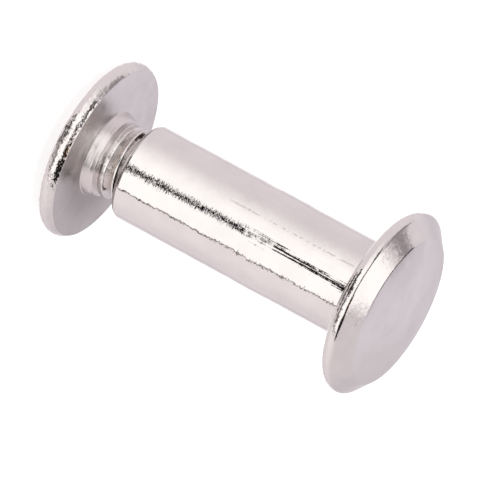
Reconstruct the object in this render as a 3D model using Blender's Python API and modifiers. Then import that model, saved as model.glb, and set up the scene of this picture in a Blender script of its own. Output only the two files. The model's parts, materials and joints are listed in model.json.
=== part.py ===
"""Two-piece binding post, partly unscrewed: a headed, hollow post and the slotted screw that turns into it.

The post and the screw share the Z axis. The screw's slotted head is down, on z = 0, and the post's
mouth is above its neck. Sizes are in millimetres and become metres in mm().
"""

import math

import bmesh
import bpy
from mathutils import Vector

# Thread of the screw, and the room that the bore gives it at each side
THREAD_DIAMETER = 4.0
THREAD_PITCH = 0.7
THREAD_HALF_ANGLE = 30.0
THREAD_CLEARANCE = 0.08

# Barrel and head of the post
BARREL_WALL = 0.52
BARREL_LENGTH = 14.3
BARREL_ROOT_FILLET = 0.35
MOUTH_ROUNDING = 0.32
COUNTERBORE_DEPTH = 1.0
BORE_END_WALL = 2.2
DRILL_POINT_ANGLE = 118.0
POST_HEAD_DIAMETER = 10.0
POST_RIM_RADIUS = 0.4
POST_RIM_RISE = 0.257
POST_BEVEL_WIDTH = 0.856
POST_BEVEL_HEIGHT = 0.785
POST_DOME_HEIGHT = 0.678

# Head, neck and shank of the screw
SCREW_HEAD_DIAMETER = 9.7
SCREW_RIM_RADIUS = 0.53
SCREW_RIM_RISE = 0.46
SCREW_RIM_TURN = 27.0
SCREW_SHOULDER_RADIUS = 1.0
SCREW_FACE_RADIUS = 17.5
SCREW_FACE_LAND = 2.4
SLOT_WIDTH = 1.0
SLOT_DEPTH = 0.65
NECK_FLARE = 0.33
NECK_HEIGHT = 0.975
SHANK_LENGTH = 9.4
TIP_CHAMFER = 0.5

# How far the screw is out of the post, and where a crest of its thread crosses a bearing
OPEN_GAP = 2.0
CREST_ABOVE_HEAD = 0.9
CREST_BEARING = -90.0

# Facets and colour
TURNED_STEPS = 72
THREAD_STEPS = 32
ARC_STEP = 13.0
DOME_RINGS = 5
SHARP_ANGLE = 28.0
NICKEL_COLOUR = (0.80, 0.77, 0.76, 1.0)
NICKEL_ROUGHNESS = 0.12

# A metric thread's depth and the width of its crest, as shares of the pitch
DEPTH_SHARE = 0.6134
CREST_SHARE = 0.125
THREAD_DEPTH = DEPTH_SHARE * THREAD_PITCH
CREST_FLAT = CREST_SHARE * THREAD_PITCH
CORE_RADIUS = THREAD_DIAMETER / 2 - THREAD_DEPTH

BORE_RADIUS = THREAD_DIAMETER / 2 + THREAD_CLEARANCE
BARREL_RADIUS = BORE_RADIUS + BARREL_WALL
COUNTERBORE_RADIUS = BARREL_RADIUS - MOUTH_ROUNDING
NECK_BASE_RADIUS = THREAD_DIAMETER / 2 + NECK_FLARE

# How far a cutter stands clear of what it cuts, and a solid reaches into the one that it joins
CUTTER_MARGIN = 1.0
JOIN_DEPTH = 0.15


def mm(value):
    """A length in metres from millimetres."""
    return value / 1000


def arc(centre_r, centre_z, radius, start, end):
    """Points (r, z) of an arc in the turning plane. Angles are in degrees: 0 is outwards and 90 is up."""
    steps = max(2, round(abs(end - start) / ARC_STEP))
    angles = [math.radians(start + (end - start) * i / steps) for i in range(steps + 1)]
    return [(centre_r + radius * math.cos(a), centre_z + radius * math.sin(a)) for a in angles]


def dome(edge_radius, edge_z, apex_z):
    """Points from the apex of a shallow dome out to its edge, with the rings evenly spaced."""
    rise = apex_z - edge_z
    radius = (edge_radius ** 2 + rise ** 2) / (2 * rise)
    reach = math.asin(edge_radius / radius)
    angles = [reach * i / DOME_RINGS for i in range(DOME_RINGS + 1)]
    return [(radius * math.sin(a), apex_z - radius * (1 - math.cos(a))) for a in angles]


def collection(name):
    made = bpy.data.collections.new(name)
    bpy.context.scene.collection.children.link(made)
    return made


def nickel(name):
    """Bright nickel plating."""
    material = bpy.data.materials.new(name)
    material.use_nodes = True
    surface = material.node_tree.nodes["Principled BSDF"]
    surface.inputs["Base Color"].default_value = NICKEL_COLOUR
    surface.inputs["Metallic"].default_value = 1.0
    surface.inputs["Roughness"].default_value = NICKEL_ROUGHNESS
    return material


def add_mesh(name, mesh_data, home):
    made = bpy.data.objects.new(name, mesh_data)
    home.objects.link(made)
    return made


def as_helper(helper):
    """A cutter or a guide: drawn as wire and left out of the render."""
    helper.hide_render = True
    helper.display_type = "WIRE"
    return helper


def turned(name, profile, home):
    """A solid of revolution about Z. Its profile starts and ends on the axis, down the outer side first."""
    outline = bpy.data.meshes.new(name)
    points = [(mm(r), 0, mm(z)) for r, z in profile]
    outline.from_pydata(points, [(i, i + 1) for i in range(len(points) - 1)], [])
    made = add_mesh(name, outline, home)
    screw = made.modifiers.new("Turn", "SCREW")
    screw.axis = "Z"
    screw.steps = screw.render_steps = TURNED_STEPS
    screw.use_merge_vertices = True
    screw.merge_threshold = mm(0.01)
    return made


def boolean(target, operation, other):
    modifier = target.modifiers.new(f"{operation.title()} {other.name}", "BOOLEAN")
    modifier.operation = operation
    modifier.object = other
    modifier.solver = "EXACT"


def shade(target):
    """Turns the modifiers into mesh, then shades it smooth with its corners sharp."""
    graph = bpy.context.evaluated_depsgraph_get()
    solid = bpy.data.meshes.new_from_object(target.evaluated_get(graph))
    solid.name = target.name
    outline = target.data
    target.modifiers.clear()
    target.data = solid
    bpy.data.meshes.remove(outline)
    solid.shade_smooth()
    solid.set_sharp_from_angle(angle=math.radians(SHARP_ANGLE))


def post_profile():
    """The post from the top of its dome, down its outside and up its bore. The mouth is at z = 0."""
    rim_z = BARREL_LENGTH + POST_RIM_RADIUS
    bevel_z = rim_z + POST_RIM_RISE + POST_BEVEL_HEIGHT
    rim_centre_r = POST_HEAD_DIAMETER / 2 - POST_RIM_RADIUS
    crease_angle = math.degrees(math.asin(POST_RIM_RISE / POST_RIM_RADIUS))
    crease_r = rim_centre_r + POST_RIM_RADIUS * math.cos(math.radians(crease_angle))

    points = dome(crease_r - POST_BEVEL_WIDTH, bevel_z, bevel_z + POST_DOME_HEIGHT)
    points += arc(rim_centre_r, rim_z, POST_RIM_RADIUS, crease_angle, -90)
    fillet_r = BARREL_RADIUS + BARREL_ROOT_FILLET
    points += arc(fillet_r, BARREL_LENGTH - BARREL_ROOT_FILLET, BARREL_ROOT_FILLET, 90, 180)
    points += arc(BARREL_RADIUS - MOUTH_ROUNDING, MOUTH_ROUNDING, MOUTH_ROUNDING, 0, -90)
    points += [(COUNTERBORE_RADIUS, COUNTERBORE_DEPTH)]
    points += [(BORE_RADIUS, COUNTERBORE_DEPTH + COUNTERBORE_RADIUS - BORE_RADIUS)]
    bore_end = BARREL_LENGTH - BORE_END_WALL
    drill_point = BORE_RADIUS / math.tan(math.radians(DRILL_POINT_ANGLE / 2))
    return points + [(BORE_RADIUS, bore_end), (0, bore_end + drill_point)]


def face_sphere():
    """The sphere of the screw's domed face: (centre z, rim centre z, angle where it meets the rim)."""
    rim_centre_r = SCREW_HEAD_DIAMETER / 2 - SCREW_RIM_RADIUS
    inner = SCREW_FACE_RADIUS - SCREW_RIM_RADIUS
    centre_z = math.sqrt(SCREW_FACE_RADIUS ** 2 - (SCREW_FACE_LAND / 2) ** 2)
    rim_z = centre_z - math.sqrt(inner ** 2 - rim_centre_r ** 2)
    return centre_z, rim_z, math.degrees(math.asin(rim_centre_r / inner))


def screw_head_height():
    """From the floor to the underside that clamps the work."""
    return face_sphere()[1] + SCREW_RIM_RISE


def blank_profile():
    """The screw's head and neck, from inside the foot of the shank down to the land on its face."""
    centre_z, rim_z, join_angle = face_sphere()
    rim_centre_r = SCREW_HEAD_DIAMETER / 2 - SCREW_RIM_RADIUS
    underside_z = rim_z + SCREW_RIM_RISE
    land_angle = math.degrees(math.asin(SCREW_FACE_LAND / 2 / SCREW_FACE_RADIUS))
    neck_z = underside_z + NECK_HEIGHT
    inside_r = CORE_RADIUS - JOIN_DEPTH
    end_z = neck_z + (THREAD_DIAMETER / 2 - inside_r) * math.tan(math.radians(THREAD_HALF_ANGLE))
    turn = math.radians(SCREW_RIM_TURN)
    shoulder_r = rim_centre_r - (SCREW_SHOULDER_RADIUS - SCREW_RIM_RADIUS) * math.cos(turn)
    shoulder_z = rim_z - (SCREW_SHOULDER_RADIUS - SCREW_RIM_RADIUS) * math.sin(turn)
    edge_angle = math.degrees(math.asin((underside_z - shoulder_z) / SCREW_SHOULDER_RADIUS))

    points = [(0, end_z), (inside_r, end_z), (THREAD_DIAMETER / 2, neck_z), (NECK_BASE_RADIUS, underside_z)]
    points += arc(shoulder_r, shoulder_z, SCREW_SHOULDER_RADIUS, edge_angle, SCREW_RIM_TURN)
    points += arc(rim_centre_r, rim_z, SCREW_RIM_RADIUS, SCREW_RIM_TURN, join_angle - 90)[1:]
    step = (join_angle - land_angle) / (DOME_RINGS - 1)
    angles = [math.radians(join_angle - step * i) for i in range(1, DOME_RINGS)]
    face_r = SCREW_FACE_RADIUS
    points += [(face_r * math.sin(a), centre_z - face_r * math.cos(a)) for a in angles]
    return points + [(0, 0)]


def trim_profile():
    """All that the finished screw may fill: its tip is cut to length and chamfered."""
    tip_z = screw_head_height() + SHANK_LENGTH
    wide = SCREW_HEAD_DIAMETER / 2 + CUTTER_MARGIN
    narrow = THREAD_DIAMETER / 2 - TIP_CHAMFER
    points = [(0, tip_z), (narrow, tip_z), (wide, tip_z - wide + narrow)]
    return points + [(wide, -CUTTER_MARGIN), (0, -CUTTER_MARGIN)]


def threaded_rod(name, home):
    """The threaded shank: one pitch of its outline wound up a right-hand helix, cut level and closed."""
    crest_r = THREAD_DIAMETER / 2
    crest_half = CREST_FLAT / 2
    root_half = crest_half + THREAD_DEPTH * math.tan(math.radians(THREAD_HALF_ANGLE))
    outline = [(CORE_RADIUS, THREAD_PITCH - root_half), (CORE_RADIUS, root_half), (crest_r, crest_half)]
    outline += [(crest_r, -crest_half), (CORE_RADIUS, -root_half)]

    bottom_z = screw_head_height() - JOIN_DEPTH
    top_z = screw_head_height() + SHANK_LENGTH + CUTTER_MARGIN
    turns_below = math.ceil((CREST_ABOVE_HEAD + JOIN_DEPTH) / THREAD_PITCH) + 1
    first_crest = screw_head_height() + CREST_ABOVE_HEAD - turns_below * THREAD_PITCH
    turns = math.ceil((top_z - first_crest) / THREAD_PITCH) + 1
    bearing = math.radians(CREST_BEARING)
    shape = bmesh.new()
    points = [
        shape.verts.new((mm(r * math.cos(bearing)), mm(r * math.sin(bearing)), mm(first_crest + z)))
        for r, z in outline
    ]
    edges = [shape.edges.new(pair) for pair in zip(points, points[1:])]
    bmesh.ops.spin(
        shape,
        geom=points + edges,
        cent=(0, 0, 0),
        axis=(0, 0, 1),
        dvec=(0, 0, mm(THREAD_PITCH / THREAD_STEPS)),
        angle=2 * math.pi * turns,
        steps=turns * THREAD_STEPS,
    )
    bmesh.ops.remove_doubles(shape, verts=shape.verts, dist=mm(0.001))
    for z, up in ((bottom_z, -1), (top_z, 1)):
        everything = shape.verts[:] + shape.edges[:] + shape.faces[:]
        bmesh.ops.bisect_plane(
            shape, geom=everything, plane_co=(0, 0, mm(z)), plane_no=(0, 0, up), clear_outer=True
        )
    bmesh.ops.holes_fill(shape, edges=shape.edges)
    bmesh.ops.recalc_face_normals(shape, faces=shape.faces)
    wound = bpy.data.meshes.new(name)
    shape.to_mesh(wound)
    shape.free()
    return as_helper(add_mesh(name, wound, home))


def slot_cutter(name, home):
    """A bar across the screw's face, as deep as the slot."""
    shape = bmesh.new()
    bmesh.ops.create_cube(shape, size=1)
    size = Vector((SCREW_HEAD_DIAMETER + CUTTER_MARGIN, SLOT_WIDTH, SLOT_DEPTH + CUTTER_MARGIN)) / 1000
    bmesh.ops.scale(shape, vec=size, verts=shape.verts)
    bar = bpy.data.meshes.new(name)
    shape.to_mesh(bar)
    shape.free()
    cutter = as_helper(add_mesh(name, bar, home))
    cutter.location.z = mm((SLOT_DEPTH - CUTTER_MARGIN) / 2)
    return cutter


def build():
    for old in list(bpy.data.objects):
        bpy.data.objects.remove(old)
    parts = collection("binding_post")
    helpers = collection("cutters")

    screw = turned("slotted_screw", blank_profile(), parts)
    boolean(screw, "UNION", threaded_rod("threaded_rod", helpers))
    boolean(screw, "INTERSECT", as_helper(turned("tip_trim", trim_profile(), helpers)))
    boolean(screw, "DIFFERENCE", slot_cutter("slot_cutter", helpers))
    shade(screw)
    screw.data.materials.append(nickel("screw_nickel"))

    post = turned("barrel_post", post_profile(), parts)
    shade(post)
    post.data.materials.append(nickel("post_nickel"))
    post.location.z = mm(screw_head_height() + OPEN_GAP)


build()
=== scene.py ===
"""Looks of the screw rivet: a headed, hollow post and the slotted screw that turns into it.

Both are bright nickel plated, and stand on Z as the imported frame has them. Lengths are in millimetres and
become metres in mm(), apart from those of the floor and the lamps. Angles are in degrees.
"""

import json
import math

import bpy
from mathutils import Matrix, Vector


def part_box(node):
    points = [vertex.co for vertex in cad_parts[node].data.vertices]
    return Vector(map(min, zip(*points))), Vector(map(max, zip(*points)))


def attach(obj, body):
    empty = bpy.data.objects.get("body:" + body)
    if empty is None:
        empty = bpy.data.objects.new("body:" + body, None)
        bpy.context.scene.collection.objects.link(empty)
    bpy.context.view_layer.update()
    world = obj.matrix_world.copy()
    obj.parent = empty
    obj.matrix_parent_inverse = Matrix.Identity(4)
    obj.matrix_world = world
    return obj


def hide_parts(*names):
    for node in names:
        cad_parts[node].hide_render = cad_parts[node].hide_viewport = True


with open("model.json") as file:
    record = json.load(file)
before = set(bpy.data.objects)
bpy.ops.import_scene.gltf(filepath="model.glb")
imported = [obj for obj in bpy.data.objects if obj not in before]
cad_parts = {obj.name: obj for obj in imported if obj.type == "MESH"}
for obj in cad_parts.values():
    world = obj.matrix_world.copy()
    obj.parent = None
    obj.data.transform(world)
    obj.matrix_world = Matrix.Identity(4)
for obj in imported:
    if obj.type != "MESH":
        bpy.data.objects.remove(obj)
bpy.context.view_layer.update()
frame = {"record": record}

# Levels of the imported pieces, in millimetres
MOUNTS = {mount["name"]: mount["pos_m"][2] * 1000 for mount in frame["record"]["mounts"]}
SCREW_UNDERSIDE_Z = MOUNTS["screw_head_underside"]
POST_UNDERSIDE_Z = MOUNTS["post_head_underside"]
SCREW_TIP_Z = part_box("slotted_screw")[1].z * 1000

# Camera: how far it looks down, how far it is rolled, and where the screw's head is in the picture
LOOK_DOWN = 20.221
ROLL = 28.487
CAMERA_DISTANCE = 546.12
PIXELS_PER_MM = 19.8806
PICTURE_PIXELS = 480
FILM_WIDTH = 36.0
SCREW_IN_PICTURE = (-6.7352, 4.3729)
NEAR_CLIP = CAMERA_DISTANCE / 10
FAR_CLIP = 10000

# Thread
THREAD_PITCH = 0.7
CREST_RADIUS = 2.0
CORE_RADIUS = 1.5706
CREST_HALF = 0.06
ROOT_HALF = 0.07
CREST_EASE = 0.045
ROOT_EASE = 0.07
THREAD_HALF_ANGLE = 30.0
CREST_ABOVE_HEAD = 0.9
CREST_BEARING = -90.0
TAP_CREST_RADIUS = 2.36
TAP_CORE_RADIUS = 1.93
TAPPED_DEPTH = 11.02

# Post
BARREL_RADIUS = 2.6
BORE_RADIUS = 2.08
BARREL_LENGTH = 14.3
ROOT_FILLET = 0.35
MOUTH_ROUNDING = 0.32
COUNTERBORE_DEPTH = 1.0
BORE_END_WALL = 2.2
DRILL_POINT_HALF_ANGLE = 59.0
POST_HEAD_RADIUS = 5.0
POST_RIM_RADIUS = 0.4
POST_RIM_HEIGHT = 0.502
POST_SHOULDER_RADIUS = 0.33
POST_SHOULDER_FINISH_ANGLE = 22.0
POST_FACE_EDGE_RADIUS = 4.05
POST_FACE_EDGE_Z = 1.4421
POST_DOME_HEIGHT = 0.678
FACE_EDGE_EASE = 0.24

# Screw
SCREW_HEAD_RADIUS = 4.85
SCREW_RIM_RADIUS = 0.53
SCREW_RIM_RISE = 0.46
SCREW_RIM_TURN = 27.0
SCREW_SHOULDER_RADIUS = 1.0
SCREW_FACE_RADIUS = 17.5
SCREW_FACE_LAND_RADIUS = 1.2
SCREW_EDGE_EASE = 0.06
COLLAR_EASE = 0.03
BEAD_WIDTH = 0.3
BEAD_GROOVE = 0.06
BEAD_EASE = 0.06
NECK_ROOT_EASE = 0.08
NECK_BASE_RADIUS = 2.33
NECK_HEIGHT = 0.975
TIP_CHAMFER = 0.5
SLOT_WIDTH = 1.0
SLOT_DEPTH = 0.65

BEVEL_FINISH_Z = (POST_UNDERSIDE_Z + POST_RIM_HEIGHT
                  + POST_SHOULDER_RADIUS * math.sin(math.radians(POST_SHOULDER_FINISH_ANGLE)))

# Fineness of the meshes
AROUND = 192
THREAD_AROUND = 72
TAP_AROUND = 48
ARC_STEP = 6.0
POST_SHOULDER_STEP = 3.0
SCREW_SHOULDER_STEP = 2.0
THREAD_ARC_STEP = 20.0
DOME_RINGS = 40
FACE_RINGS = 24
EDGE_RING = 0.03
LONG_STRAIGHT = 8 * EDGE_RING
SAME_PLACE = 0.0005
SHARP_ANGLE = 32.0
JOIN_DEPTH = 0.15
CLEARANCE = 1.0

# How the faces of a piece are told apart, by place and by how far up a face looks (1 is straight up)
MOUTH_LAND = 0.1
LEVEL = 0.97
RIM_LOOKS_UP = 0.8
SHOULDER_LOOKS_UP = 0.35
FACE_BELOW_UNDERSIDE = 0.1
UNDERSIDE_MARGIN = 0.01
BEAD_MARGIN = 0.02
NEAR_AXIS = 0.001

# Finish
NICKEL = (0.80, 0.77, 0.76, 1.0)
PIT_BROWN = (0.30, 0.24, 0.20, 1.0)
# Painted shade in the thread's roots
GROOVE_PAINTED_SHADE = (0.69, 0.64, 0.61, 1.0)
UNDERSIDE_GREY = (0.77, 0.74, 0.735, 1.0)
# Painted shade: the screw's underside darker to one side and towards the collar
UNDERSIDE_PAINTED_SHADE = (0.39, 0.355, 0.345, 1.0)
NECK_GREY = (0.78, 0.735, 0.735, 1.0)
# Painted shade: the dark inside of the post's bore and the flat of its mouth
BORE_PAINTED_SHADE = (0.22, 0.17, 0.13, 1.0)
GROOVE_SHADE_TOP = CORE_RADIUS + 0.3
TILT_PER_DEGREE = math.radians(1)

# Marks of the plating: how many to the millimetre, or how many each way for the long ones
FINE_SPECKLE = 19.0
COARSE_SPECKLE = 6.0
WAVES = 1.5
HAIRS = (5.0, 5.0, 36.0)
DRAWN_LINES = (9.0, 9.0, 0.2)
TURNED_LINES = 11.0
FLECKS_IN_RINGS = 15.0
FLECKS_IN_PLACE = 5.0
SCRATCH_DOTS = 5.0
PIT_WOBBLES = 9.0
CLOUDS = 0.7

# How far turned lines stray from true rings, and how much more speckle there is beside the hairs
RING_WANDER = 0.06
SPECKLE_BESIDE_HAIRS = 1.7

# Clouds in the plate: their grain, the values between which they change its tone and its shine, and how
# dark they make it
CLOUD_DETAIL = 3.0
CLOUD_ROUGHNESS = 0.6
CLOUD_TONE = (0.35, 0.7)
CLOUD_SHINE = (0.3, 0.75)
CLOUD_SHADE = 0.95

# Pits and the dotted scratch: sizes in millimetres, the values between which a dot begins and is full,
# and how brown the scratch is
PIT_SPACING = 0.9
PIT_RADIUS = 0.05
PIT_WOBBLE = 0.06
DENT_DEPTH = 0.006
SCRATCH_FADE = 1.0
SCRATCH_DOT_EDGE = (0.45, 0.55)
SCRATCH_BROWN = 0.35

# Light and floor
FILL_LIGHT = 0.55
FLOOR_RADIUS = 2.0
FLOOR_CORNERS = 96
FLOOR_WHITE = 0.8
FLOOR_LIFT = 0.60

# Colours that the studio shows to the plating
WALL = (0.866, 0.795, 0.818, 1.0)
FAR_WALL = (0.82, 0.772, 0.828, 1.0)
FAR_FLOOR = (0.71, 0.66, 0.70, 1.0)
BACKDROP = (1.2, 1.15, 1.15, 1.0)
SOFT_BOX = (1.30, 1.28, 1.26, 1.0)
PALE = (1.0, 0.93, 0.94, 1.0)
DIM = (0.60, 0.54, 0.56, 1.0)
GREY = (0.28, 0.24, 0.245, 1.0)
COPPER = (0.50, 0.25, 0.13, 1.0)
BLACK = (0.008, 0.006, 0.006, 1.0)
LOW_BLACK = (0.030, 0.018, 0.013, 1.0)

# Soft boxes and flags of the studio: a name, the degrees of turn from the front and then of rise at which
# it begins, is full, is still full and ends, its colour, and how much of it shows. A later one lies over
# an earlier one. A turn of 998 or more, either way, is never reached, so that side has no end.
PANELS = (
    ("far wall, left", (-999, -998, -150, -130), (-60, -20, 90, 91), FAR_WALL, 1.0),
    ("far wall, right", (130, 150, 998, 999), (-60, -20, 90, 91), FAR_WALL, 1.0),
    ("far floor, left", (-999, -998, -150, -130), (-60, -40, 5, 28), FAR_FLOOR, 1.0),
    ("far floor, right", (130, 150, 998, 999), (-60, -40, 5, 28), FAR_FLOOR, 1.0),
    ("backdrop, left", (-999, -998, -165, -138), (-80, -50, -20, -10), BACKDROP, 1.0),
    ("backdrop, right", (145, 172, 998, 999), (-80, -50, -20, -10), BACKDROP, 1.0),
    ("dim corner", (120, 150, 170, 181), (-10, 5, 24, 50), DIM, 0.35),
    ("right glow", (50, 56, 76, 130), (-60, -35, 25, 45), PALE, 1.0),
    ("dim wall, right", (52, 64, 125, 150), (-8, 8, 72, 80), BLACK, 0.1),
    ("low flag, right", (4, 14, 56, 60), (-88, -72, -32, -25), LOW_BLACK, 0.8),
    ("low flag, left", (-27, -20, 8, 16), (-90, -76, -30, -25), LOW_BLACK, 1.0),
    ("low glint", (-34, -24, 50, 58), (-57, -53, -47, -43), SOFT_BOX, 0.6),
    ("left box", (-80, -12, -2, 1), (-28, -23, 32, 42), SOFT_BOX, 1.0),
    ("right box", (10, 13, 54, 57), (-28, -23, 24, 34), SOFT_BOX, 1.0),
    ("middle box", (-3, 0, 11, 14), (-12, -6, 24, 34), SOFT_BOX, 1.0),
    ("top box", (-88, -62, 36, 76), (47, 54, 98, 99), SOFT_BOX, 1.0),
    ("top box, left", (-150, -110, -62, -50), (60, 68, 98, 99), SOFT_BOX, 1.0),
    ("top box, right", (40, 60, 180, 181), (80, 86, 98, 99), PALE, 1.0),
    ("ceiling flag", (-55, -47, 14, 24), (31, 37, 47, 53), BLACK, 0.9),
    ("right flag", (6, 13, 66, 72), (24, 34, 59, 64), BLACK, 1.0),
    ("right flag, far end", (34, 42, 64, 70), (14, 22, 30, 36), BLACK, 1.0),
    ("right flag, soft", (46, 58, 68, 80), (56, 61, 68, 72), BLACK, 0.36),
    ("copper card", (10, 16, 34, 40), (49, 52, 57, 60), COPPER, 0.8),
    ("left flag", (-64, -56, -44, -40), (20, 27, 46, 54), BLACK, 0.9),
    ("left flag, soft", (-84, -64, -47, -41), (4, 14, 40, 50), BLACK, 0.2),
    ("left band", (-128, -116, -84, -66), (16, 28, 50, 60), GREY, 0.88),
    ("overhead flag, left", (-164, -154, -130, -118), (38, 46, 75, 82), BLACK, 1.0),
    ("overhead flag", (-999, -998, -150, -124), (61, 64, 74, 80), BLACK, 1.0),
    ("overhead flag, right", (150, 165, 998, 999), (61, 64, 74, 80), BLACK, 0.6),
    ("camera gap", (-2, 1, 9, 12), (-30, -24, -12, -6), BLACK, 1.0),
    ("camera gap, top", (-4, -2, 1, 3), (20, 25, 38, 44), BLACK, 0.8),
    ("box edge", (55.8, 57.2, 58.8, 60.2), (-50, -30, -5, 10), BLACK, 0.85),
)


def mm(value):
    """A length in metres from millimetres."""
    return value / 1000


def arc(centre_r, centre_z, radius, start, end, step=ARC_STEP):
    """Points (r, z) of an arc in the turning plane. Angles are in degrees: 0 is outwards and 90 is up."""
    steps = max(2, round(abs(end - start) / step))
    angles = [math.radians(start + (end - start) * i / steps) for i in range(steps + 1)]
    return [(centre_r + radius * math.cos(a), centre_z + radius * math.sin(a)) for a in angles]


def eased(before, corner, after, ease, step=ARC_STEP):
    """Points of an arc, of radius ease, that rounds the corner between two neighbours of a profile."""
    corner = Vector(corner)
    back = (Vector(before) - corner).normalized()
    on = (Vector(after) - corner).normalized()
    half_turn = (math.pi - back.angle(on)) / 2
    reach = math.tan(half_turn)
    centre = (back + on).normalized() / math.cos(half_turn)
    start, end = back * reach - centre, on * reach - centre
    steps = max(2, round(math.degrees(2 * half_turn) / step))
    return [tuple(corner + ease * (centre + start.slerp(end, i / steps))) for i in range(steps + 1)]


def with_edge_rings(profile):
    """Adds a ring close to both ends of each long straight, which keeps it from shading like a curve."""
    rings = [profile[0]]
    for start, end in zip(profile, profile[1:]):
        run = Vector(end) - Vector(start)
        if run.length > LONG_STRAIGHT:
            step = run.normalized() * EDGE_RING
            rings += [tuple(Vector(start) + step), tuple(Vector(end) - step)]
        rings.append(end)
    return rings


def deselect_all():
    if bpy.context.mode != "OBJECT":
        bpy.ops.object.mode_set(mode="OBJECT")
    bpy.ops.object.select_all(action="DESELECT")


def make_active(piece):
    deselect_all()
    piece.select_set(True)
    bpy.context.view_layer.objects.active = piece


def draw_outline(name, points):
    """A run of edges in the XZ plane, drawn by extruding one vertex from point to point."""
    deselect_all()
    bpy.ops.mesh.primitive_plane_add(size=mm(1), location=(0, 0, 0))
    outline = bpy.context.object
    outline.name = outline.data.name = name
    bpy.ops.object.mode_set(mode="EDIT")
    bpy.ops.mesh.select_all(action="SELECT")
    bpy.ops.mesh.merge(type="CENTER")
    r, z = points[0]
    bpy.ops.transform.translate(value=(mm(r), 0, mm(z)))
    for start, end in zip(points, points[1:]):
        run = Vector(end) - Vector(start)
        bpy.ops.mesh.extrude_region_move(TRANSFORM_OT_translate={"value": (mm(run.x), 0, mm(run.y))})
    return outline


def close_and_point_outwards():
    """Merges what the turning left double and turns the faces outwards. It runs in edit mode."""
    bpy.ops.mesh.select_all(action="SELECT")
    bpy.ops.mesh.remove_doubles(threshold=mm(SAME_PLACE))
    bpy.ops.mesh.normals_make_consistent(inside=False)


def turned(name, profile, around=AROUND):
    """A solid turned about Z from a profile that starts and ends on the axis."""
    piece = draw_outline(name, profile)
    bpy.ops.mesh.select_all(action="SELECT")
    bpy.ops.mesh.spin(steps=around, angle=2 * math.pi, center=(0, 0, 0), axis=(0, 0, 1))
    close_and_point_outwards()
    bpy.ops.object.mode_set(mode="OBJECT")
    return piece


def thread_outline(crest_r, core_r):
    """One pitch of the thread's outline, with its crest and its root rounded."""
    crest_out, crest_in = (crest_r, CREST_HALF), (crest_r, -CREST_HALF)
    root_up, root_down = (core_r, THREAD_PITCH / 2 + ROOT_HALF), (core_r, THREAD_PITCH / 2 - ROOT_HALF)
    low_root = (core_r, ROOT_HALF - THREAD_PITCH / 2)
    points = [(core_r, THREAD_PITCH / 2)]
    points += eased(root_up, root_down, crest_out, ROOT_EASE, THREAD_ARC_STEP)
    points += eased(root_down, crest_out, crest_in, CREST_EASE, THREAD_ARC_STEP)
    points += eased(crest_out, crest_in, low_root, CREST_EASE, THREAD_ARC_STEP)
    points += eased(crest_in, low_root, (core_r, -THREAD_PITCH / 2), ROOT_EASE, THREAD_ARC_STEP)
    return points + [(core_r, -THREAD_PITCH / 2)]


def wound_rod(name, crest_r, core_r, first_crest_z, bottom_z, top_z, around):
    """A threaded rod: one pitch of outline wound up a right-hand helix, then cut level at both ends."""
    turns_below = math.ceil((first_crest_z - bottom_z) / THREAD_PITCH) + 1
    start_z = first_crest_z - turns_below * THREAD_PITCH
    turns = math.ceil((top_z - start_z) / THREAD_PITCH) + 1
    outline = thread_outline(crest_r, core_r)
    rod = draw_outline(name, [(r, z + start_z) for r, z in outline])
    bpy.ops.mesh.select_all(action="SELECT")
    bearing = math.radians(CREST_BEARING)
    bpy.ops.transform.rotate(
        value=-bearing, orient_axis="Z", orient_type="GLOBAL", center_override=(0, 0, 0)
    )
    bpy.ops.object.mode_set(mode="OBJECT")
    winding = rod.modifiers.new("Wind", "SCREW")
    winding.axis = "Z"
    winding.screw_offset = mm(THREAD_PITCH)
    winding.iterations = turns
    winding.steps = winding.render_steps = around
    winding.use_merge_vertices = False
    make_active(rod)
    bpy.ops.object.modifier_apply(modifier=winding.name)
    bpy.ops.object.mode_set(mode="EDIT")
    bpy.ops.mesh.select_all(action="SELECT")
    bpy.ops.mesh.remove_doubles(threshold=mm(SAME_PLACE))
    for z, up in ((bottom_z, -1), (top_z, 1)):
        bpy.ops.mesh.select_all(action="SELECT")
        bpy.ops.mesh.bisect(plane_co=(0, 0, mm(z)), plane_no=(0, 0, up), clear_outer=True)
    bpy.ops.mesh.select_all(action="SELECT")
    bpy.ops.mesh.fill_holes(sides=0)
    close_and_point_outwards()
    bpy.ops.object.mode_set(mode="OBJECT")
    return rod


def combine(piece, operation, other):
    """Joins to the piece, or cuts from it, another solid, which is then removed."""
    change = piece.modifiers.new(operation.title(), "BOOLEAN")
    change.operation = operation
    change.object = other
    change.solver = "EXACT"
    make_active(piece)
    bpy.ops.object.modifier_apply(modifier=change.name)
    bpy.data.objects.remove(other)


def smooth(piece):
    make_active(piece)
    bpy.ops.object.shade_smooth_by_angle(angle=math.radians(SHARP_ANGLE))


def dome(edge_r, edge_z, apex_z, rings):
    """Points of a shallow dome from its apex out to its edge."""
    rise = apex_z - edge_z
    radius = (edge_r ** 2 + rise ** 2) / (2 * rise)
    reach = math.asin(edge_r / radius)
    angles = [reach * i / rings for i in range(rings + 1)]
    return [(radius * math.sin(a), apex_z - radius * (1 - math.cos(a))) for a in angles]


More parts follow.
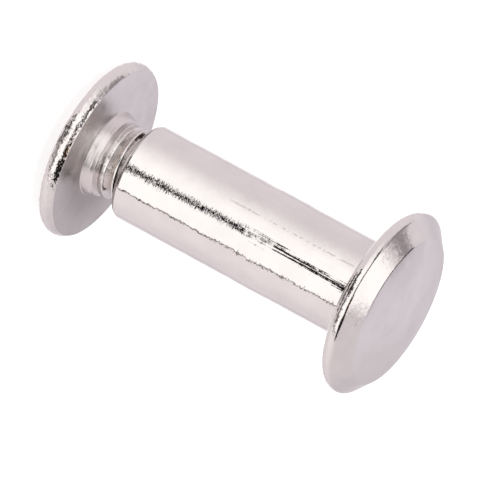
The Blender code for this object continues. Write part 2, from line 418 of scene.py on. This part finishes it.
def post_profile():
    """The post from the top of its dome, down its outside and up its bore."""
    rim_z = POST_UNDERSIDE_Z + POST_RIM_HEIGHT
    face_edge = (POST_FACE_EDGE_RADIUS, POST_UNDERSIDE_Z + POST_FACE_EDGE_Z)
    shoulder_r = POST_HEAD_RADIUS - POST_SHOULDER_RADIUS
    bevel_run = Vector(face_edge) - Vector((shoulder_r, rim_z))
    bevel_angle = math.atan2(bevel_run.y, bevel_run.x) - math.acos(POST_SHOULDER_RADIUS / bevel_run.length)
    shoulder = arc(shoulder_r, rim_z, POST_SHOULDER_RADIUS, math.degrees(bevel_angle), 0,
                   POST_SHOULDER_STEP)
    under_rim = [(r, rim_z + (z - rim_z) * POST_RIM_HEIGHT / POST_RIM_RADIUS)
                 for r, z in arc(POST_HEAD_RADIUS - POST_RIM_RADIUS, rim_z, POST_RIM_RADIUS, 0, -90)]
    face = dome(*face_edge, face_edge[1] + POST_DOME_HEIGHT, DOME_RINGS)

    mouth_z = POST_UNDERSIDE_Z - BARREL_LENGTH
    root = arc(BARREL_RADIUS + ROOT_FILLET, POST_UNDERSIDE_Z - ROOT_FILLET, ROOT_FILLET, 90, 180)
    lip = arc(BARREL_RADIUS - MOUTH_ROUNDING, mouth_z + MOUTH_ROUNDING, MOUTH_ROUNDING, 0, -90)
    counterbore_end = mouth_z + COUNTERBORE_DEPTH
    bore_end = POST_UNDERSIDE_Z - BORE_END_WALL
    drill_point = BORE_RADIUS / math.tan(math.radians(DRILL_POINT_HALF_ANGLE))

    profile = face[:-1] + eased(face[-2], face_edge, shoulder[0], FACE_EDGE_EASE)
    profile += shoulder + under_rim[1:] + root + lip
    profile += [(lip[-1][0], counterbore_end), (BORE_RADIUS, counterbore_end + lip[-1][0] - BORE_RADIUS)]
    profile += [(BORE_RADIUS, bore_end), (0, bore_end + drill_point)]
    return with_edge_rings(profile)


def neck_radius(above_head):
    """The radius of the tapered neck at a height above the screw's head."""
    return NECK_BASE_RADIUS - (NECK_BASE_RADIUS - CREST_RADIUS) * above_head / NECK_HEIGHT


def blank_profile():
    """The screw's head and neck, from inside the foot of the shank down to its face."""
    rim_r = SCREW_HEAD_RADIUS - SCREW_RIM_RADIUS
    rim_z = SCREW_UNDERSIDE_Z - SCREW_RIM_RISE
    inner = SCREW_FACE_RADIUS - SCREW_RIM_RADIUS
    centre_z = math.sqrt(SCREW_FACE_RADIUS ** 2 - SCREW_FACE_LAND_RADIUS ** 2)
    join_angle = math.degrees(math.asin(rim_r / inner))
    land_angle = math.degrees(math.asin(SCREW_FACE_LAND_RADIUS / SCREW_FACE_RADIUS))
    shift = SCREW_SHOULDER_RADIUS - SCREW_RIM_RADIUS
    shoulder_r = rim_r - shift * math.cos(math.radians(SCREW_RIM_TURN))
    shoulder_z = rim_z - shift * math.sin(math.radians(SCREW_RIM_TURN))
    edge_angle = math.degrees(math.asin((SCREW_UNDERSIDE_Z - shoulder_z) / SCREW_SHOULDER_RADIUS))
    shoulder = arc(shoulder_r, shoulder_z, SCREW_SHOULDER_RADIUS, edge_angle, SCREW_RIM_TURN,
                   SCREW_SHOULDER_STEP)
    rim = shoulder + arc(rim_r, rim_z, SCREW_RIM_RADIUS, SCREW_RIM_TURN, join_angle - 90)[1:]

    inside_r = CORE_RADIUS - JOIN_DEPTH
    neck_z = SCREW_UNDERSIDE_Z + NECK_HEIGHT
    neck_base = (NECK_BASE_RADIUS, SCREW_UNDERSIDE_Z)
    flank = math.tan(math.radians(THREAD_HALF_ANGLE))
    flank_end = (inside_r, neck_z + BEAD_WIDTH / 2 + (CREST_RADIUS - inside_r) * flank)
    bead_top = (CREST_RADIUS, neck_z + BEAD_WIDTH / 2)
    bead_bottom = (CREST_RADIUS, neck_z - BEAD_WIDTH / 4)
    groove = (CREST_RADIUS - BEAD_GROOVE, neck_z - BEAD_WIDTH)
    collar_height = NECK_HEIGHT - BEAD_WIDTH - BEAD_GROOVE
    collar_edge = (neck_radius(collar_height), SCREW_UNDERSIDE_Z + collar_height)
    profile = [(0, flank_end[1]), flank_end] + eased(flank_end, bead_top, bead_bottom, BEAD_EASE)
    profile += eased(bead_top, bead_bottom, groove, BEAD_EASE) + [groove]
    profile += eased(groove, collar_edge, neck_base, COLLAR_EASE)
    profile += eased(collar_edge, neck_base, rim[0], NECK_ROOT_EASE)
    profile += eased(neck_base, rim[0], rim[1], SCREW_EDGE_EASE) + rim[1:]
    for i in range(1, FACE_RINGS + 1):
        angle = math.radians(join_angle + (land_angle - join_angle) * i / FACE_RINGS)
        profile.append((SCREW_FACE_RADIUS * math.sin(angle), centre_z - SCREW_FACE_RADIUS * math.cos(angle)))
    return with_edge_rings(profile + [(0, 0)])


def tip_profile():
    """All that the finished screw may fill, which cuts its tip to length and chamfers it."""
    wide = SCREW_HEAD_RADIUS + CLEARANCE
    narrow = CREST_RADIUS - TIP_CHAMFER
    return [(0, SCREW_TIP_Z), (narrow, SCREW_TIP_Z), (wide, SCREW_TIP_Z - wide + narrow),
            (wide, -CLEARANCE), (0, -CLEARANCE)]


def make_post():
    post = turned("post_nickel_plated", post_profile())
    mouth_z = POST_UNDERSIDE_Z - BARREL_LENGTH
    tap = wound_rod("tap", TAP_CREST_RADIUS, TAP_CORE_RADIUS, mouth_z + THREAD_PITCH / 2,
                    mouth_z - CLEARANCE, mouth_z + TAPPED_DEPTH, TAP_AROUND)
    combine(post, "DIFFERENCE", tap)
    smooth(post)
    return post


def make_screw():
    screw = turned("screw_nickel_plated", blank_profile())
    rod = wound_rod("shank", CREST_RADIUS, CORE_RADIUS, SCREW_UNDERSIDE_Z + CREST_ABOVE_HEAD,
                    SCREW_UNDERSIDE_Z - JOIN_DEPTH, SCREW_TIP_Z + CLEARANCE, THREAD_AROUND)
    combine(screw, "UNION", rod)
    combine(screw, "INTERSECT", turned("tip", tip_profile()))
    deselect_all()
    bpy.ops.mesh.primitive_cube_add(size=1, location=(0, 0, mm(SLOT_DEPTH - CLEARANCE) / 2))
    saw = bpy.context.object
    bpy.ops.object.mode_set(mode="EDIT")
    bpy.ops.mesh.select_all(action="SELECT")
    saw_size = (mm(2 * SCREW_HEAD_RADIUS + CLEARANCE), mm(SLOT_WIDTH), mm(SLOT_DEPTH + CLEARANCE))
    bpy.ops.transform.resize(value=saw_size, center_override=saw.location)
    bpy.ops.object.mode_set(mode="OBJECT")
    combine(screw, "DIFFERENCE", saw)
    smooth(screw)
    return screw


class Nodes:
    """Adds nodes to a tree, left to right. An input is given as a value or as the socket that feeds it."""

    def __init__(self, tree):
        self.tree = tree
        self.count = 0

    def add(self, kind, inputs=(), **settings):
        node = self.tree.nodes.new(kind)
        node.location = (180 * self.count, -40 * (self.count % 9))
        self.count += 1
        for name, value in settings.items():
            setattr(node, name, value)
        for key, value in dict(inputs).items():
            self.feed(node.inputs[key], value)
        return node

    def feed(self, socket, value):
        if isinstance(value, bpy.types.NodeSocket):
            self.tree.links.new(value, socket)
        else:
            socket.default_value = value

    def maths(self, operation, first, second=0.0, third=0.0):
        node = self.add("ShaderNodeMath", {0: first, 1: second, 2: third}, operation=operation)
        return node.outputs[0]

    def fade(self, value, start, end, low=0.0, high=1.0):
        """A smooth step from low to high while the value goes from start to end."""
        inputs = {"Value": value, "From Min": start, "From Max": end, "To Min": low, "To Max": high}
        return self.add("ShaderNodeMapRange", inputs, interpolation_type="SMOOTHSTEP").outputs[0]

    def blend(self, share, first, second):
        """A colour between two others. Inputs 0, 6 and 7 of the node are its share and its two colours."""
        node = self.add("ShaderNodeMix", data_type="RGBA")
        for key, value in ((0, share), (6, first), (7, second)):
            self.feed(node.inputs[key], value)
        return node.outputs[2]

    def noise(self, point, scale, detail=2.0, roughness=0.5):
        inputs = {"Vector": point, "Scale": scale, "Detail": detail, "Roughness": roughness}
        return self.add("ShaderNodeTexNoise", inputs).outputs["Fac"]

    def how_far(self, value, place):
        """The distance between a value and a place, on either side of it."""
        return self.maths("ABSOLUTE", self.maths("SUBTRACT", value, place))

    def swung(self, noise, degrees, others=0.0):
        """Degrees that swing about zero as the noise does, on top of others."""
        return self.maths("MULTIPLY_ADD", self.maths("SUBTRACT", noise, 0.5), degrees, others)

    def vector(self, operation, first, second=(0.0, 0.0, 0.0)):
        return self.add("ShaderNodeVectorMath", {0: first, 1: second}, operation=operation).outputs[0]

    def stretched(self, point, factors):
        return self.vector("MULTIPLY", point, factors)

    def scaled(self, vector, factor):
        return self.add("ShaderNodeVectorMath", {0: vector, "Scale": factor}, operation="SCALE").outputs[0]

    def level_part(self, point):
        """The point without its height."""
        return self.stretched(point, (1.0, 1.0, 0.0))

    def from_axis(self, point):
        """The point's distance from the Z axis."""
        length = self.add("ShaderNodeVectorMath", {0: self.level_part(point)}, operation="LENGTH")
        return length.outputs["Value"]

    def tilt_noise(self, point, scale):
        """A vector that swings about zero in every direction."""
        inputs = {"Vector": point, "Scale": scale, "Detail": 1.0}
        swing = self.add("ShaderNodeTexNoise", inputs).outputs["Color"]
        return self.vector("SUBTRACT", swing, (0.5, 0.5, 0.5))


def new_group(name, inputs, outputs):
    """An empty shader group, its Nodes and its two ends. Inputs are name: default, outputs name: kind."""
    group = bpy.data.node_groups.new(name, "ShaderNodeTree")
    for label, default in inputs.items():
        kind = "NodeSocketVector" if isinstance(default, tuple) else "NodeSocketFloat"
        group.interface.new_socket(label, in_out="INPUT", socket_type=kind).default_value = default
    for label, kind in outputs.items():
        group.interface.new_socket(label, in_out="OUTPUT", socket_type=kind)
    nodes = Nodes(group)
    return group, nodes, nodes.add("NodeGroupInput").outputs, nodes.add("NodeGroupOutput").inputs


def plating_tilt_group():
    """The surface's normal, tilted here and there as the plating over worked metal is.

    Amounts are in degrees. Speckle and waves tilt it any way, hairs and drawn lines only to the left and
    right, turned lines and flecks only up and down, dish away from the axis and lean upwards all round.
    """
    inputs = {"Point": (0.0, 0.0, 0.0), "Speckle": 0.0, "Waves": 0.0, "Hairs": 0.0, "Drawn lines": 0.0,
              "Turned lines": 0.0, "Flecks": 0.0, "Dish": 0.0, "Lean": 0.0, "Dent": 0.0}
    group, nodes, given, out = new_group("plating_tilt", inputs, {"Normal": "NodeSocketVector"})
    point = given["Point"]
    normal = nodes.add("ShaderNodeNewGeometry").outputs["Normal"]
    sideways = nodes.vector("NORMALIZE", nodes.vector("CROSS_PRODUCT", (0.0, 0.0, 1.0), normal))
    upwards = nodes.vector("CROSS_PRODUCT", normal, sideways)
    outwards = nodes.vector("NORMALIZE", nodes.level_part(point))
    along = nodes.add("ShaderNodeSeparateXYZ", {0: point}).outputs["Z"]
    ringed = nodes.add("ShaderNodeCombineXYZ", {"X": nodes.from_axis(point), "Y": along}).outputs[0]
    ringed = nodes.vector("ADD", ringed, nodes.scaled(point, RING_WANDER))

    fine, coarse = nodes.tilt_noise(point, FINE_SPECKLE), nodes.tilt_noise(point, COARSE_SPECKLE)
    speckle = nodes.vector("ADD", fine, coarse)
    waves = nodes.tilt_noise(point, WAVES)
    hairs = nodes.noise(nodes.stretched(point, HAIRS), 1.0, 1.0)
    drawn = nodes.noise(nodes.stretched(point, DRAWN_LINES), 1.0, 1.0)
    turned_marks = nodes.noise(ringed, TURNED_LINES)
    along_rings, in_place = nodes.scaled(ringed, FLECKS_IN_RINGS), nodes.scaled(point, FLECKS_IN_PLACE)
    flecks = nodes.noise(nodes.vector("ADD", along_rings, in_place), 1.0, 1.0)

    any_way = nodes.scaled(speckle, given["Speckle"])
    any_way = nodes.vector("ADD", any_way, nodes.scaled(waves, given["Waves"]))
    left_right = nodes.swung(hairs, given["Hairs"])
    left_right = nodes.swung(drawn, given["Drawn lines"], left_right)
    up_down = nodes.swung(turned_marks, given["Turned lines"], given["Lean"])
    up_down = nodes.swung(flecks, given["Flecks"], up_down)
    tilt = nodes.vector("ADD", any_way, nodes.scaled(sideways, left_right))
    tilt = nodes.vector("ADD", tilt, nodes.scaled(upwards, up_down))
    tilt = nodes.vector("ADD", tilt, nodes.scaled(outwards, given["Dish"]))
    tilted = nodes.vector("ADD", normal, nodes.scaled(tilt, TILT_PER_DEGREE))
    dented = nodes.add("ShaderNodeBump", {"Height": given["Dent"], "Strength": 1.0, "Distance": mm(1),
                                          "Normal": nodes.vector("NORMALIZE", tilted)})
    nodes.feed(out["Normal"], dented.outputs["Normal"])
    return group


def pits_group():
    """A mask of sparse small pits."""
    inputs = {"Point": (0.0, 0.0, 0.0), "Share": 0.2}
    group, nodes, given, out = new_group("pits", inputs, {"Mask": "NodeSocketFloat"})
    wobble = nodes.add("ShaderNodeTexNoise", {"Vector": given["Point"], "Scale": PIT_WOBBLES})
    shaken = nodes.vector("ADD", given["Point"], nodes.scaled(wobble.outputs["Color"], PIT_WOBBLE))
    cells = nodes.add("ShaderNodeTexVoronoi", {"Vector": shaken, "Randomness": 1.0, "Scale": 1 / PIT_SPACING})
    near = nodes.fade(cells.outputs["Distance"], PIT_RADIUS / PIT_SPACING, PIT_RADIUS / PIT_SPACING / 2)
    chance = nodes.add("ShaderNodeSeparateColor", {"Color": cells.outputs["Color"]}).outputs[0]
    chosen = nodes.maths("LESS_THAN", chance, given["Share"])
    nodes.feed(out["Mask"], nodes.maths("MULTIPLY", near, chosen))
    return group


def grouped(nodes, group, inputs):
    node = nodes.add("ShaderNodeGroup", node_tree=group)
    for key, value in inputs.items():
        nodes.feed(node.inputs[key], value)
    return node


def plating(name, colour=NICKEL, roughness=0.06, cloud=0.03, tilts=None, pit_share=0.0, groove=None,
            hair_band=None, scratch=None, painted_shade_side=None, swell=None):
    """Bright nickel plate with the marks of how the metal under it was made, and painted shade where asked.

    tilts: degrees for the inputs of the tilt group, or (z, degrees, z, degrees) where they change along
    the piece.
    cloud: how much rougher the roughest patches are.
    pit_share: how many of the places for a pit have one.
    groove: the radii at which the painted shade in the thread's roots is darkest and gone.
    hair_band: where across the piece the hairs and drawn lines run, and the distances from there at
    which they are still full and are gone.
    scratch: where across the piece a dotted scratch runs, half its width and the level where it starts.
    painted_shade_side: how far to one side the painted shade begins and is full, and the distances from the
    axis at which it is half dark and is darkest.
    swell: the level of a slight swelling, the distances from there at which it is still full and ends,
    and the degrees that it leans upwards.
    """
    material = bpy.data.materials.new(name)
    material.use_nodes = True
    nodes = Nodes(material.node_tree)
    surface = material.node_tree.nodes["Principled BSDF"]
    place = nodes.add("ShaderNodeTexCoord").outputs["Object"]
    point = nodes.stretched(place, (1000.0, 1000.0, 1000.0))
    ways = nodes.add("ShaderNodeSeparateXYZ", {0: point}).outputs
    across, along = ways["X"], ways["Z"]

    pits = grouped(nodes, PITS, {"Point": point, "Share": pit_share}).outputs["Mask"]
    dent = pits
    if scratch:
        scratch_x, half_width, start_z = scratch
        line = nodes.maths("MULTIPLY", nodes.fade(nodes.how_far(across, scratch_x), half_width, 0.0),
                           nodes.fade(along, start_z, start_z + SCRATCH_FADE))
        dots = nodes.fade(nodes.noise(point, SCRATCH_DOTS), *SCRATCH_DOT_EDGE)
        scratched = nodes.maths("MULTIPLY", line, dots)
        dent = nodes.maths("ADD", scratched, dent)
    given = {"Point": point, "Dent": nodes.maths("MULTIPLY", dent, -DENT_DEPTH)}
    for label, amount in (tilts or {}).items():
        if isinstance(amount, tuple):
            start_z, start, end_z, end = amount
            amount = nodes.fade(along, start_z, end_z, start, end)
        given[label] = amount
    if hair_band:
        middle_x, still_full, gone = hair_band
        near = nodes.fade(nodes.how_far(across, middle_x), gone, still_full)
        for label in ("Hairs", "Drawn lines"):
            given[label] = nodes.maths("MULTIPLY", given[label], near)
        more = nodes.fade(near, 1.0, 0.0, 1.0, SPECKLE_BESIDE_HAIRS)
        given["Speckle"] = nodes.maths("MULTIPLY", given["Speckle"], more)
    if swell:
        level, still_full, gone, lean = swell
        given["Lean"] = nodes.fade(nodes.how_far(along, level), gone, still_full, 0.0, lean)
    nodes.feed(surface.inputs["Normal"], grouped(nodes, TILT, given).outputs["Normal"])

    clouds = nodes.noise(point, CLOUDS, CLOUD_DETAIL, CLOUD_ROUGHNESS)
    shade = (*[channel * CLOUD_SHADE for channel in colour[:3]], 1.0)
    tone = nodes.blend(nodes.fade(clouds, *CLOUD_TONE), colour, shade)
    tone = nodes.blend(pits, tone, PIT_BROWN)
    if scratch:
        tone = nodes.blend(nodes.maths("MULTIPLY", scratched, SCRATCH_BROWN), tone, PIT_BROWN)
    # Painted shade, darker to one side and towards the axis
    if painted_shade_side:
        begins_x, shaded_x, half_shaded, most_shaded = painted_shade_side
        share = nodes.maths("MULTIPLY", nodes.fade(across, begins_x, shaded_x),
                            nodes.fade(nodes.from_axis(point), half_shaded, most_shaded, 0.5, 1.0))
        tone = nodes.blend(share, tone, UNDERSIDE_PAINTED_SHADE)
    # Painted shade in the thread's roots, darkest at the core
    if groove:
        darkest, no_longer = groove
        tone = nodes.blend(nodes.fade(nodes.from_axis(point), no_longer, darkest), tone, GROOVE_PAINTED_SHADE)
    nodes.feed(surface.inputs["Base Color"], tone)
    nodes.feed(surface.inputs["Roughness"], nodes.fade(clouds, *CLOUD_SHINE, roughness, roughness + cloud))
    surface.inputs["Metallic"].default_value = 1.0
    return material


def finish_regions(piece, materials, region_of):
    """Gives each face the material of its region.

    region_of takes the distance of the face's middle from the axis, its level, and how far the face looks
    outwards and upwards.
    """
    for material in materials.values():
        piece.data.materials.append(material)
    slots = list(materials)
    for face in piece.data.polygons:
        middle = face.center * 1000
        radius = math.hypot(middle.x, middle.y)
        outwards = (middle.x * face.normal.x + middle.y * face.normal.y) / max(radius, NEAR_AXIS)
        face.material_index = slots.index(region_of(radius, middle.z, outwards, face.normal.z))


def post_region(radius, z, outwards, upwards):
    if z > POST_UNDERSIDE_Z + POST_FACE_EDGE_Z:
        return "face"
    if z > BEVEL_FINISH_Z:
        return "bevel"
    if radius < BARREL_RADIUS - MOUTH_ROUNDING + MOUTH_LAND and (outwards < 0 or abs(upwards) > LEVEL):
        return "bore"
    return "barrel" if z < POST_UNDERSIDE_Z - ROOT_FILLET else "rim"


def screw_region(radius, z, outwards, upwards):
    if radius > SCREW_HEAD_RADIUS - SCREW_RIM_RADIUS and upwards < RIM_LOOKS_UP:
        return "shoulder" if upwards > SHOULDER_LOOKS_UP else "rim"
    if z < SCREW_UNDERSIDE_Z - FACE_BELOW_UNDERSIDE:
        return "face"
    if z < SCREW_UNDERSIDE_Z + UNDERSIDE_MARGIN:
        return "underside"
    neck_end = SCREW_UNDERSIDE_Z + NECK_HEIGHT
    if z < neck_end - BEAD_WIDTH:
        return "neck"
    return "bead" if radius > CREST_RADIUS - BEAD_MARGIN and z < neck_end + BEAD_WIDTH / 2 else "thread"


def set_up_camera():
    down, roll = math.radians(LOOK_DOWN), math.radians(ROLL)
    towards = Vector((0, -math.cos(down), math.sin(down)))
    upright = Vector((0, math.sin(down), math.cos(down)))
    side = Vector((1, 0, 0))
    right = upright * math.cos(roll) - side * math.sin(roll)
    up = -side * math.cos(roll) - upright * math.sin(roll)
    data = bpy.data.cameras.new("camera")
    data.sensor_width = FILM_WIDTH
    data.lens = FILM_WIDTH * PIXELS_PER_MM * CAMERA_DISTANCE / PICTURE_PIXELS
    data.clip_start, data.clip_end = mm(NEAR_CLIP), mm(FAR_CLIP)
    camera = bpy.data.objects.new("camera", data)
    bpy.context.scene.collection.objects.link(camera)
    aim = Vector((0, 0, SCREW_UNDERSIDE_Z)) - right * SCREW_IN_PICTURE[0] - up * SCREW_IN_PICTURE[1]
    turn = Matrix((right, up, towards)).transposed().to_4x4()
    camera.matrix_world = Matrix.Translation((aim + towards * CAMERA_DISTANCE) / 1000) @ turn
    bpy.context.scene.camera = camera


def set_up_studio():
    """Soft boxes and flags all round, which only reflections see.

    The camera sees plain white, and every other ray an even fill.
    """
    world = bpy.data.worlds.new("studio")
    bpy.context.scene.world = world
    world.use_nodes = True
    tree = world.node_tree
    nodes = Nodes(tree)
    bearing = nodes.add("ShaderNodeTexCoord").outputs["Generated"]
    away = nodes.add("ShaderNodeSeparateXYZ", {0: bearing}).outputs
    turn = nodes.maths("DEGREES", nodes.maths("ARCTAN2", away["X"], nodes.maths("MULTIPLY", away["Y"], -1.0)))
    rise = nodes.maths("DEGREES", nodes.maths("ARCSINE", away["Z"]))
    seen = WALL
    for name, turns, rises, colour, share in PANELS:
        mask = share
        for value, (begins, full, still_full, ends) in ((turn, turns), (rise, rises)):
            mask = nodes.maths("MULTIPLY", mask, nodes.fade(value, begins, full))
            mask = nodes.maths("MULTIPLY", mask, nodes.fade(value, ends, still_full))
        seen = nodes.blend(mask, seen, colour)
        seen.node.label = name
    rays = nodes.add("ShaderNodeLightPath").outputs
    fill = (FILL_LIGHT, FILL_LIGHT, FILL_LIGHT, 1.0)
    plain = nodes.blend(rays["Is Camera Ray"], fill, (1.0, 1.0, 1.0, 1.0))
    shown = nodes.blend(rays["Is Glossy Ray"], plain, seen)
    nodes.feed(tree.nodes["Background"].inputs["Color"], shown)


def add_lamp(name, place, size, power):
    """A large soft lamp over the floor, pointed at the rivet. Its place and size are in metres."""
    data = bpy.data.lights.new(name, "AREA")
    data.shape = "DISK"
    data.size, data.energy = size, power
    lamp = bpy.data.objects.new(name, data)
    bpy.context.scene.collection.objects.link(lamp)
    lamp.location = place
    lamp.rotation_euler = Vector(place).to_track_quat("Z", "Y").to_euler()
    lamp.visible_glossy = False


def lay_floor():
    """A sheet of white paper, brighter to the camera alone, so that it is pale but keeps the shadow."""
    deselect_all()
    bpy.ops.mesh.primitive_circle_add(vertices=FLOOR_CORNERS, radius=FLOOR_RADIUS, fill_type="NGON",
                                      location=(0, 0, 0))
    floor = bpy.context.object
    floor.name = "floor"
    floor.visible_glossy = False
    paper = bpy.data.materials.new("white_paper")
    paper.use_nodes = True
    nodes = Nodes(paper.node_tree)
    tree = paper.node_tree
    tree.nodes.remove(tree.nodes["Principled BSDF"])
    sheet = nodes.add("ShaderNodeBsdfDiffuse", {"Color": (FLOOR_WHITE, FLOOR_WHITE, FLOOR_WHITE, 1.0)})
    lift = nodes.maths("MULTIPLY", nodes.add("ShaderNodeLightPath").outputs["Is Camera Ray"], FLOOR_LIFT)
    glow = nodes.add("ShaderNodeEmission", {"Color": (1.0, 1.0, 1.0, 1.0), "Strength": lift})
    both = nodes.add("ShaderNodeAddShader", {0: sheet.outputs[0], 1: glow.outputs[0]})
    tree.links.new(both.outputs[0], tree.nodes["Material Output"].inputs["Surface"])
    floor.data.materials.append(paper)


TILT = plating_tilt_group()
PITS = pits_group()

post = make_post()
finish_regions(post, {
    "barrel": plating("barrel_plating", roughness=0.04, cloud=0.02, pit_share=0.05,
                      hair_band=(0.2, 0.5, 0.85), scratch=(-0.92, 0.09, 9.0), swell=(11.85, 0.75, 1.2, 6.2),
                      tilts={"Speckle": (8.5, 2.0, 10.5, 4.0), "Waves": 4.0,
                             "Hairs": (9.5, 21.0, 12.5, 7.0), "Drawn lines": (10.3, 1.0, 12.0, 31.0)}),
    "rim": plating("post_rim_plating", roughness=0.05, tilts={"Speckle": 12.0, "Flecks": 11.0, "Waves": 4.0}),
    "bevel": plating("bevel_plating", roughness=0.09, cloud=0.05, pit_share=0.02,
                     tilts={"Speckle": 7.0, "Waves": 3.0}),
    "face": plating("face_plating", roughness=0.22, cloud=0.05, pit_share=0.04,
                    tilts={"Speckle": 1.0, "Waves": 2.0}),
    # The bore and the flat of its mouth are painted dark: painted shade inside the post.
    "bore": plating("bore_plating_painted_shade", colour=BORE_PAINTED_SHADE, roughness=0.3, cloud=0.1, tilts={"Speckle": 6.0}),
}, post_region)
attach(post, "post")
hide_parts("barrel_post")

screw = make_screw()
finish_regions(screw, {
    "rim": plating("rim_plating", roughness=0.05, tilts={"Speckle": 24.0, "Flecks": 20.0, "Waves": 4.0}),
    "face": plating("slotted_face_plating", roughness=0.2, cloud=0.05, pit_share=0.04,
                    tilts={"Speckle": 3.0, "Waves": 3.0, "Turned lines": 4.0}),
    # The underside's tone carries painted shade on one side, darker towards the collar.
    "underside": plating("underside_plating", colour=UNDERSIDE_GREY, roughness=0.26, cloud=0.08,
                         pit_share=0.15, painted_shade_side=(0.2, 2.0, 4.6, 2.4),
                         tilts={"Speckle": 3.0, "Waves": 9.0, "Dish": 6.5}),
    "shoulder": plating("shoulder_plating", roughness=0.05,
                        tilts={"Speckle": 22.0, "Flecks": 26.0, "Waves": 4.0}),
    "bead": plating("bead_plating", tilts={"Speckle": 9.0, "Flecks": 9.0, "Waves": 3.0}),
    "neck": plating("neck_plating", colour=NECK_GREY, roughness=0.28, cloud=0.06, pit_share=0.1,
                    tilts={"Speckle": 5.0, "Waves": 12.0, "Turned lines": 26.0, "Lean": 2.2}),
    # The thread's roots carry painted shade.
    "thread": plating("thread_plating", roughness=0.14, cloud=0.06, groove=(CORE_RADIUS, GROOVE_SHADE_TOP),
                      tilts={"Speckle": 8.0, "Waves": 8.0, "Turned lines": 10.0}),
}, screw_region)
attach(screw, "screw")
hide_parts("slotted_screw")

set_up_camera()
set_up_studio()
lay_floor()
add_lamp("key_lamp", place=(-0.35, -0.25, 0.60), size=0.5, power=1.2)
add_lamp("fill_lamp", place=(0.45, 0.10, 0.50), size=0.5, power=0.6)
bpy.context.scene.view_settings.view_transform = "Standard"
